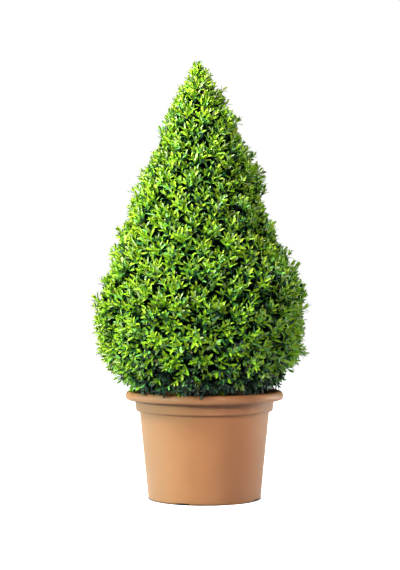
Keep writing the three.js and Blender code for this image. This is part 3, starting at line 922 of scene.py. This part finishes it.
shoot_top, shoot_out = spread_over_crown(SHOOTS, SHOOT_TURN)
shoot_top = sheared(shoot_top)
spray = nearest(shoot_top, twig_top)
from_middle = shoot_top - twig_top[spray]
fan = from_middle / SPRAY_RADIUS
# A spray is domed: its outer shoots end deeper. Sprays and shoots differ, and some shoots stand proud.
depth = TIP_INSIDE + SPRAY_DOME * np.minimum(DOME_LIMIT, (fan**2).sum(1))
depth += chance.uniform(*SPRAY_DEPTHS, TWIGS)[spray] + chance.uniform(*SHOOT_DEPTHS, SHOOTS)
depth += HOLLOW_DEPTH * unevenness(shoot_top, HOLLOW_SIZE)
depth -= PROUD * chance.uniform(LEAST_PROUD_PART, 1, SHOOTS) * (chance.random(SHOOTS) < PROUD_SHARE)
depth *= 1 - FOOT_EVENNESS * (1 - smoothstep(shoot_top[:, 2], FOOT, FOOT + FOOT_ZONE))
print("shoots end", round(1000 * float(np.median(depth)), 1), "mm below the outline")

# %% The leafy shoots
SPRAY_PULL = 0.16
MOST_PROUD = 0.004
SHOOT_DEEPEST_PART = 0.12
FAN_PART = 0.22
SHOOT_SPREAD = 0.36
SHOOT_BACK = (0.026, 0.036)
BARE_TWIG = 4

shoot_tip = shoot_top - SPRAY_PULL * from_middle
shoot_tip = set_in(shoot_tip, shoot_out, np.maximum(depth, -MOST_PROUD), SHOOT_DEEPEST_PART)
shoot_tip = hung_over_lip(shoot_tip, spray)
shoot_along = growth(shoot_tip, shoot_out + FAN_PART * fan, SHOOT_SPREAD, chance)
twig_wood = twig_line[:, BARE_TWIG:].reshape(-1, 3)
shoot_curves = grown_from(twig_wood, shoot_tip, shoot_along, chance.uniform(*SHOOT_BACK, SHOOTS))
print("shoots", SHOOTS)

# %% The older shoots behind them
INNER_SPREAD = 2400
INNER_SHOOTS = 2370
INNER_TURN = 3.0
INNER_DEPTHS = (0.024, 0.062)
INNER_ASTRAY = 0.7
INNER_BACK = 0.024

inner_top, inner_out = (values[:INNER_SHOOTS] for values in spread_over_crown(INNER_SPREAD, INNER_TURN))
inner_tip = set_in(inner_top, inner_out, chance.uniform(*INNER_DEPTHS, INNER_SHOOTS))
inner_along = growth(inner_tip, inner_out, INNER_ASTRAY, chance)
inner_wood = np.concatenate([twig_wood, old_wood_places])
inner_curves = grown_from(inner_wood, inner_tip, inner_along, INNER_BACK)
print("inner shoots", INNER_SHOOTS)

# %% [markdown]
# ## Leaves
#
# A boxwood leaf is a small leathery ellipse, about 16 mm long, folded a little along its midrib, with its tip
# bent back. Leaves stand in opposite pairs, each pair a quarter turn on from the last, wide open low on the
# shoot and nearly closed at the tip. Eleven points give a leaf its own outline, fold and bend, eight are
# enough for one deep in the crown, and one array holds all the leaves of a form.

# %% The points of a leaf
LEAF_FOLD = 0.45
LEAF_BEND = 0.10


def leaf_form(stations):
    """A leaf's points as shares of its length and sides of its midrib, and its faces.

    The root comes first, then a left, middle and right point at each station, then the tip.
    """
    count = len(stations)
    share = np.concatenate([[0], np.repeat(stations, 3), [1]])
    side = np.concatenate([[0], np.tile([-1, 0, 1], count), [0]])
    left = 1 + 3 * np.arange(count - 1)[:, None, None]
    quads = (left + np.array([[0, 3, 4, 1], [1, 4, 5, 2]])).reshape(-1, 4)
    last, tip = 3 * count - 2, 3 * count + 1
    triangles = np.array([[0, 1, 2], [0, 2, 3], [last, tip, last + 1], [last + 1, tip, last + 2]])
    return share, side, quads, triangles


def leaf_points(form, root, along, face, length, width):
    """Points of many leaves of one form.

    At a share t of its length a leaf is width · sqrt(4t(1-t)) wide, so its outline is an ellipse. Its edges
    rise from the midrib by a part of their distance from it, and the blade bends back by a part of t².
    """
    share, side = form[:2]
    across = np.cross(face, along)
    half = (width / 2)[:, None] * np.sqrt(4 * share * (1 - share))
    rise = LEAF_FOLD * half * np.abs(side) - LEAF_BEND * length[:, None] * share**2
    points = root[:, None] + along[:, None] * (length[:, None] * share)[..., None]
    return points + across[:, None] * (half * side)[..., None] + face[:, None] * rise[..., None]


LEAF_FORM = leaf_form(stations=(0.2, 0.52, 0.84))
OLD_LEAF_FORM = leaf_form(stations=(0.3, 0.72))
print("points of a leaf", len(LEAF_FORM[0]), "and of an old one", len(OLD_LEAF_FORM[0]))

# %% Leaves on shoots
OUTER_PAIRS = {
    "from_tip": np.array([0.0008, 0.0050, 0.0112, 0.0185]),
    "angle": np.radians([18, 35, 48, 58]),
    "size": np.array([0.78, 1.0, 1.04, 0.98]),
}
INNER_PAIRS = {
    "from_tip": np.array([0.0010, 0.0070, 0.0140, 0.0210]),
    "angle": np.radians([32, 52, 64, 74]),
    "size": np.array([0.8, 1.0, 1.1, 1.1]),
}
PAIR_STRETCH = (0.85, 1.2)
LENGTH_SPREAD = (0.82, 1.16)
TURN_STRAY, ANGLE_STRAY, ROLL_STRAY = 0.16, 0.13, 0.25
JUST_BEHIND = 0.02
BARE_ROOT = 0.03
ODD_DIRECTION = (0.31, 0.17, 0.93)


def leaves_on(curves, pairs, leaf_length, slenderness, chance):
    """Every leaf of a set of shoots: its root, direction, face, length and width, its shoot and its pair.

    A leaf leaves the shoot at the pair's angle from its line, towards a direction that turns by a quarter
    from pair to pair. Its face looks towards the shoot's tip. Each leaf's angle and roll vary a little. The
    directions across a shoot start from one that no shoot is likely to have.
    """
    start, bend, tip = curves
    count, pair_count = len(tip), len(pairs["size"])
    run = np.linalg.norm(tip - bend, axis=1) + np.linalg.norm(bend - start, axis=1)
    stretch = chance.uniform(*PAIR_STRETCH, count)
    share = 1 - pairs["from_tip"] * (stretch / run)[:, None]
    node = bezier(start, bend, tip, np.clip(share, 0, 1))
    behind = bezier(start, bend, tip, np.clip(share, 0, 1) - JUST_BEHIND)
    line = unit(node - behind)
    across = unit(np.cross(line, ODD_DIRECTION))
    other = np.cross(line, across)
    turn = chance.uniform(0, np.pi, (count, 1)) + np.arange(pair_count) * np.pi / 2
    turn = np.stack([turn, turn + np.pi], -1) + chance.normal(0, TURN_STRAY, (count, pair_count, 2))
    out = np.cos(turn)[..., None] * across[:, :, None] + np.sin(turn)[..., None] * other[:, :, None]
    angle = pairs["angle"][:, None] + chance.normal(0, ANGLE_STRAY, turn.shape)
    along = np.cos(angle)[..., None] * line[:, :, None] + np.sin(angle)[..., None] * out
    face = np.sin(angle)[..., None] * line[:, :, None] - np.cos(angle)[..., None] * out
    face = unit(face + chance.normal(0, ROLL_STRAY, turn.shape)[..., None] * np.cross(face, along))
    length = leaf_length * pairs["size"][:, None] * chance.uniform(*LENGTH_SPREAD, turn.shape)
    root = np.broadcast_to(node[:, :, None], along.shape)
    kept = np.broadcast_to((share > BARE_ROOT)[..., None], turn.shape)
    shoot, pair, _ = np.indices(turn.shape)
    shapes = [value[kept] for value in (root, along, face, length, length * slenderness)]
    return shapes, shoot[kept], pair[kept]


# %% Keep what grows over the pot clear of its lip
LIP_CLEARANCE = 0.0012
LIP_INSIDE = -2
MOST_LIFT = 0.006


def rested(points):
    """Points that would sink into the lip are lifted onto it, and a check that each leaf or shoot is clear.

    The lip's top is taken as level from its inside to its crest and as a quarter ellipse from there out: at a
    share s of the way to the outer edge it lies LIP_ROLL (1 - sqrt(1 - s²)) lower. A leaf or shoot isn't
    clear where a point needs more than the most lift, or hangs below the lip.
    """
    radius, height = np.hypot(points[..., 0], points[..., 1]), points[..., 2]
    share = (radius - (LIP_RADIUS - LIP_ROLL)) / (LIP_ROLL + LIP_CLEARANCE)
    over_lip = (share > LIP_INSIDE) & (share < 1)
    lip_top = POT_HEIGHT - LIP_ROLL * (1 - np.sqrt(1 - np.clip(share, 0, 1) ** 2))
    lift = np.where(over_lip, np.maximum(0, lip_top + LIP_CLEARANCE - height), 0)
    lifted = points + lift[..., None] * UP
    return lifted, ((lift < MOST_LIFT) & (height > LIP_UNDERSIDE + LIP_ROLL / 2)).all(axis=1)


# %% Place every leaf
# A length in metres, and a width as a share of the length.
LEAF_SIZE = (0.0162, 0.31)
OLD_LEAF_SIZE = (0.0195, 0.50)

outer, outer_shoot, outer_pair = leaves_on(shoot_curves, OUTER_PAIRS, *LEAF_SIZE, chance)
inner, inner_shoot, inner_pair = leaves_on(inner_curves, INNER_PAIRS, *OLD_LEAF_SIZE, chance)
outer_points, outer_clear = rested(leaf_points(LEAF_FORM, *outer))
inner_points, inner_clear = rested(leaf_points(OLD_LEAF_FORM, *inner))
print("leaves", len(outer_points), "outer and", len(inner_points), "inner")

# %% [markdown]
# ## Colours dealt out by spray
#
# New leaves are yellow-green, last year's are deep green, and those inside the crown are darker still, and the
# darkest greens are near black as painted shade. On the plant a whole spray is fresh or old together. So each
# spray draws how fresh it is, each shoot and each leaf varies that, and it falls from pair to pair down the
# shoot. Where a leaf grows counts too, and most of that is painted light and shade: the top of the crown and
# the side towards the key light are painted lighter, and the foot on the shaded side, one patch low on the
# right and the side away from the light are painted darker. The shoots set in the hollows are darker as older
# growth and as painted shade. A picture of the colours could be wrapped round the crown, but leaves don't carry
# a picture. So they are sorted by how fresh and how lit they are into a few plain colours, each a piece of its
# own, with the colour on the shader itself.

# %% How fresh each leaf is
# The parts that its spray, its shoot and the leaf itself have in it, and what it loses for each pair down.
SPRAY_PART, SHOOT_PART, LEAF_PART, PAIR_PART = 0.20, 0.40, 0.22, 0.38
# The share of shoots that are last year's to their tips, and what they lose.
OLD_SHOOTS, OLD_PART = 0.12, 0.45
# What a shoot loses for each metre that it ends below the outline: older growth in the hollows, and painted
# shade there.
HOLLOW_AGE_AND_SHADE_PART = 9
# Painted light from above: what leaves near the top gain, and the heights over which it comes in.
TOP_LIGHT_PART, TOP_LIGHT_RANGE = 0.14, (0.76, 0.86)
# Painted shade at the foot: what leaves gain as they stand higher above the foot, and at any height on the
# light's side.
UNSHADED_PART, UNSHADED_RANGE = 0.32, (FOOT, FOOT + 0.15)
# Over this range of x the side lit by the key light turns to the side with painted shade.
FOOT_SHADE = (-0.20, -0.09)
# Painted shade at the foot: the share of shoots there that are darkened, what they lose, and where that fades
# out.
FOOT_SHADED_SHOOTS, FOOT_SHADE_PART = 0.84, 1.30
FOOT_SHADE_RANGE = (FOOT - 0.014, FOOT + 0.060)
# Painted shade: the middle and radius of a patch of shade low on the right, and what its leaves lose.
SHADE_PATCH, SHADE_PATCH_RADIUS = np.array([0.105, -0.180, 0.380]), 0.045
SHADE_PATCH_PART = 0.22
# Painted light and shade: what the crown loses from its axis to its right side, away from the key light, and a
# smooth unevenness all over.
SIDE_SHADE_PART = 0.15
UNEVEN_PART, UNEVEN_SIZE = 0.03, 0.090


def freshness_and_light_of(root, shoot, pair, spray_of_shoot, depth_of_shoot, chance):
    """How fresh and how lit each leaf is: its spray's, its shoot's and its own, less a part for each pair down.

    Some shoots are last year's to their tips. The shoots set in the hollows are darker, as older growth and as
    painted shade. Painted shade darkens most shoots at the foot on the shaded side and a patch of shade, which
    fades out as a bell. Painted light makes the top of the crown and the side towards the key light lighter.
    """
    height = root[:, 2]
    sprays = chance.uniform(0, 1, TWIGS)[spray_of_shoot[shoot]]
    shoots = chance.uniform(0, 1, len(spray_of_shoot))[shoot]
    own = chance.uniform(0, 1, len(shoot))
    fresh = SPRAY_PART * sprays + SHOOT_PART * shoots + LEAF_PART * own - PAIR_PART * pair
    # Last year's shoots lose a part, and shoots set in the hollows are darker, as older growth and as painted
    # shade.
    fresh -= OLD_PART * (shoots < OLD_SHOOTS) + HOLLOW_AGE_AND_SHADE_PART * depth_of_shoot[shoot]
    shade = smoothstep(root[:, 0], *FOOT_SHADE)
    # Painted light: leaves near the top are lighter, as if lit from above.
    fresh += TOP_LIGHT_PART * smoothstep(height, *TOP_LIGHT_RANGE)
    # Painted shade at the foot, which the side towards the key light is spared.
    fresh += UNSHADED_PART * np.maximum(smoothstep(height, *UNSHADED_RANGE), 1 - shade)
    fresh -= FOOT_SHADE_PART * (1 - smoothstep(height, *FOOT_SHADE_RANGE)) * shade * (shoots < FOOT_SHADED_SHOOTS)
    # Painted shade on a patch low on the right, fading out as a bell from its middle.
    from_shade_patch = ((root - SHADE_PATCH) ** 2).sum(axis=1) / SHADE_PATCH_RADIUS ** 2
    # Painted light and shade across x: lighter on the key light's side, darker on the right.
    fresh -= SHADE_PATCH_PART * np.exp(-from_shade_patch / 2) + SIDE_SHADE_PART * root[:, 0] / BELLY_RADIUS
    return fresh + UNEVEN_PART * unevenness(root, UNEVEN_SIZE)


outer_freshness_and_light = freshness_and_light_of(outer[0], outer_shoot, outer_pair, spray, depth, chance)
inner_spray = nearest(inner_tip, twig_tip)
inner_depth = np.zeros(INNER_SHOOTS)
inner_freshness_and_light = freshness_and_light_of(inner[0], inner_shoot, inner_pair, inner_spray, inner_depth, chance)
print("mean freshness outside", round(float(outer_freshness_and_light.mean()), 2))
print("mean freshness inside", round(float(inner_freshness_and_light.mean()), 2))

# %% Deal the leaves out to colours
# Each colour has its share of the leaves, from the freshest and most lit to the oldest and most shaded, and its
# red, green and blue.
LEAF_COLOURS = {
    "new": (0.12, (0.42, 0.555, 0.024)),
    # Pale leaves: a painted sheen, the whitish gloss of lit leaves.
    "pale": (0.08, (0.43, 0.57, 0.230)),
    "fresh": (0.20, (0.40, 0.660, 0.022)),
    "bright": (0.14, (0.36, 0.70, 0.026)),
    "cool": (0.10, (0.22, 0.565, 0.115)),
    "green": (0.09, (0.050, 0.213, 0.045)),
    # Deep and dark: old leaves, made near black with painted shade.
    "deep": (0.13, (0.004, 0.055, 0.018)),
    "dark": (0.14, (0.0002, 0.015, 0.007)),
}
# Inner leaves: near black, old leaves with painted shade inside the crown.
INNER_SHADE_COLOURS = {"shade": (0.5, (0.0005, 0.007, 0.004)), "dusk": (0.5, (0.002, 0.017, 0.008))}
BROWN_COLOUR = (0.40, 0.26, 0.13)
BROWN_SHARE = 0.004
# A roughness and a specular level.
YOUNG_GLOSS = (0.41, 0.40)
OLD_GLOSS = (0.55, 0.05)


def plain_finish(name, colour, gloss):
    """One plain colour with a gloss, for what is too small to show a pattern of its own."""
    material, _, _, shader = bare_material(name)
    shader.inputs["Base Color"].default_value = (*colour, 1)
    shader.inputs["Roughness"].default_value = gloss[0]
    shader.inputs["Specular IOR Level"].default_value = gloss[1]
    return material


def leaf_piece(name, form, points, colour, gloss):
    """One piece for all the leaves of a colour."""
    offset = points.shape[1] * np.arange(len(points))[:, None, None]
    faces = [(template + offset).reshape(-1, template.shape[1]) for template in form[2:]]
    finish = plain_finish(f"leaf_{name}", colour, gloss)
    return new_piece(f"leaves_{name}", points.reshape(-1, 3), faces, finish, "foliage", ["clipped_crown"])


def dealt(form, points, freshness_and_light, colours, gloss):
    """Leaves sorted by how fresh and how lit they are, freshest first, and cut into the colours' shares."""
    order = np.argsort(-freshness_and_light)
    cuts = np.cumsum([share for share, _ in colours.values()])[:-1] * len(order)
    for (name, (_, colour)), rows in zip(colours.items(), np.split(order, cuts.astype(int))):
        leaf_piece(name, form, points[rows], colour, gloss)


is_brown = chance.random(len(outer_points)) < BROWN_SHARE
leaf_piece("brown", LEAF_FORM, outer_points[outer_clear & is_brown], BROWN_COLOUR, YOUNG_GLOSS)
kept = outer_clear & ~is_brown
dealt(LEAF_FORM, outer_points[kept], outer_freshness_and_light[kept], LEAF_COLOURS, YOUNG_GLOSS)
dealt(OLD_LEAF_FORM, inner_points[inner_clear], inner_freshness_and_light[inner_clear], INNER_SHADE_COLOURS, OLD_GLOSS)

# %% [markdown]
# ## The wood of the crown
#
# Each level's curves become tubes. Boxwood shoots are square in section, so four sides are true to life as
# well as cheap. The leader, limbs and twigs are bark-brown and plain, because behind the leaves they show only
# as thin lines, and darker than the stem's bark as painted shade inside the crown. Young shoots are greener.

# %% Tubes for each level
# The old wood is far darker than the stem's bark: painted shade inside the crown.
WOOD_COLOURS = {"old_wood": (0.055, 0.042, 0.028), "young_wood": (0.09, 0.13, 0.028)}
WOOD_GLOSS = (0.75, 0.2)
# Each level has its curves, its rings and sides, its radii at root and tip, and its colour.
WOOD_LEVELS = {
    "leader": ([leader], 24, 8, (0.0032, 0.0012), "old_wood"),
    "limbs": ([limb_curves], 12, 6, (0.0028, 0.0016), "old_wood"),
    "twigs": ([twig_curves], 8, 5, (0.0016, 0.0009), "old_wood"),
    "young_shoots": ([shoot_curves, inner_curves], 3, 4, (0.0008, 0.0004), "young_wood"),
}


def wood_piece(name, curve_sets, rings, sides, radii, finish):
    """All the limbs of one level, each tapering evenly from its root to its tip."""
    lines = np.concatenate([bezier(*curves, even_shares(rings)) for curves in curve_sets])
    lines, clear = rested(lines)
    lines = lines[clear]
    taper = np.linspace(*radii, rings)[None, :, None] * np.ones((len(lines), 1, sides))
    return new_piece(name, *swept(lines, taper), finish, "bark", ["clipped_crown"])


wood_finishes = {name: plain_finish(name, colour, WOOD_GLOSS) for name, colour in WOOD_COLOURS.items()}
for name, (*shape, colour_name) in WOOD_LEVELS.items():
    wood_piece(name, *shape, wood_finishes[colour_name])

# %% [markdown]
# ## The studio
#
# The plant stands on a white floor in a white studio. One large window would light it evenly, and it would
# look flat. So the key light is a compact softbox at the left in front: it gives the pot its gradient and the
# leaves bright and dark sides. A second one, from the front and above, fills the shade. One behind on the
# right draws the far edge, and one high on the left brightens the top through a honeycomb grid, which narrows
# its beam. Two small ones with the narrowest grids only touch the pot.

# %% Stand the softboxes
MIDDLE = (0.0, 0.0, 0.42)
# Each has its place, its side in metres, its watts, its colour, the point it faces and its beam in degrees.
SOFTBOXES = {
    "key_light": ((-2.1, -1.5, 0.98), 0.40, 61, (0.775, 1.0, 0.90), MIDDLE, 180),
    "front_light": ((0.6, -2.55, 1.8), 0.35, 23, (1.0, 0.93, 0.88), MIDDLE, 180),
    "rim_light": ((1.5, 0.6, 0.4), 0.5, 2.4, (0.87, 1.0, 0.88), (0.0, 0.0, 0.52), 60),
    "top_light": ((-1.35, -0.80, 2.1), 0.45, 10.5, (1.0, 1.0, 0.95), (0.0, 0.0, 0.8), 60),
    "pot_fill": ((0.85, -2.0, 1.15), 0.2, 0.076, (1.0, 0.84, 0.76), (0.03, 0.0, 0.08), 9),
    "pot_edge": ((-1.7, 0.25, 0.3), 0.3, 0.22, (0.35, 0.90, 1.0), (0.0, 0.0, 0.08), 14),
}


def softbox(name, place, side, watts, colour, aim, beam):
    """A square area light that faces its aim. Its grid lets through a beam of so many degrees."""
    lamp = bpy.data.objects.new(name, bpy.data.lights.new(name, "AREA"))
    lamp.data.energy = watts
    lamp.data.size = side
    lamp.data.color = colour
    lamp.data.spread = math.radians(beam)
    lamp.location = place
    lamp.rotation_euler = (Vector(aim) - Vector(place)).to_track_quat("-Z", "Y").to_euler()
    bpy.context.scene.collection.objects.link(lamp)
    print("light", name, watts, "W")


for name, values in SOFTBOXES.items():
    softbox(name, *values)

# %% [markdown]
# ## The floor and the world
#
# A floor lit as white as the photograph's would throw its light back at the leaves from below. So the floor
# glows by itself, and it is hidden from the rays that would spread its light in the leaves, which only mirror
# it in their gloss. Under the pot it is black, with a soft edge, because that is where a real pot has its
# contact shadow. The world is white where the camera looks at it, but it lights the plant only dimly, and
# mostly from above, so the gaps between the leaves stay dark.

# %% Lay the floor
WHITE = (1, 1, 1, 1)
FLOOR_SIZE = 12.0
FLOOR_ROUGHNESS = 0.9
CONTACT_SHADOW = (BASE_RADIUS - WALL, BASE_RADIUS + 2 * WALL)
FLOOR_GLOW = (0.0, 1.0)


def floor_finish():
    """White that glows, fading to black under the pot by the distance from the pot's middle."""
    material, nodes, links, shader = bare_material("studio_floor")
    shader.inputs["Roughness"].default_value = FLOOR_ROUGHNESS
    shader.inputs["Emission Color"].default_value = WHITE
    place = nodes.new("ShaderNodeTexCoord")
    distance = nodes.new("ShaderNodeVectorMath")
    distance.operation = "LENGTH"
    links.new(place.outputs["Object"], distance.inputs[0])
    glow = mapped(nodes, links, distance.outputs["Value"], CONTACT_SHADOW, FLOOR_GLOW, "SMOOTHSTEP")
    links.new(glow, shader.inputs["Emission Strength"])
    links.new(glow, shader.inputs["Base Color"])
    return material


half = FLOOR_SIZE / 2
floor_mesh = bpy.data.meshes.new("studio_floor")
floor_corners = [(-half, -half, 0), (half, -half, 0), (half, half, 0), (-half, half, 0)]
floor_mesh.from_pydata(floor_corners, [], [(0, 1, 2, 3)])
floor_mesh.materials.append(floor_finish())
floor = bpy.data.objects.new("studio_floor", floor_mesh)
bpy.context.scene.collection.objects.link(floor)
floor.visible_diffuse = False
print("floor", FLOOR_SIZE, "m square")

# %% Light the world
SKY_COLOUR = (0.92, 0.98, 1.0, 1)
SKY_RISE = (-0.15, 0.65)
SKY_STRENGTH = (0.02, 0.27)


def white_studio():
    """A world that the camera sees as white, and that lights by how steeply a direction rises."""
    world = bpy.data.worlds.new("white_studio")
    world.use_nodes = True
    nodes, links = world.node_tree.nodes, world.node_tree.links
    sky = nodes["Background"]
    sky.inputs["Color"].default_value = SKY_COLOUR
    direction = nodes.new("ShaderNodeTexCoord")
    parts = nodes.new("ShaderNodeSeparateXYZ")
    links.new(direction.outputs["Generated"], parts.inputs["Vector"])
    links.new(mapped(nodes, links, parts.outputs["Z"], SKY_RISE, SKY_STRENGTH), sky.inputs["Strength"])
    seen = nodes.new("ShaderNodeBackground")
    seen.inputs["Color"].default_value = WHITE
    ray = nodes.new("ShaderNodeLightPath")
    choice = nodes.new("ShaderNodeMixShader")
    links.new(ray.outputs["Is Camera Ray"], choice.inputs["Fac"])
    links.new(sky.outputs["Background"], choice.inputs[1])
    links.new(seen.outputs["Background"], choice.inputs[2])
    links.new(choice.outputs["Shader"], nodes["World Output"].inputs["Surface"])
    return world


bpy.context.scene.world = white_studio()
bpy.context.scene.view_settings.view_transform = "Standard"
print("world", bpy.context.scene.world.name)
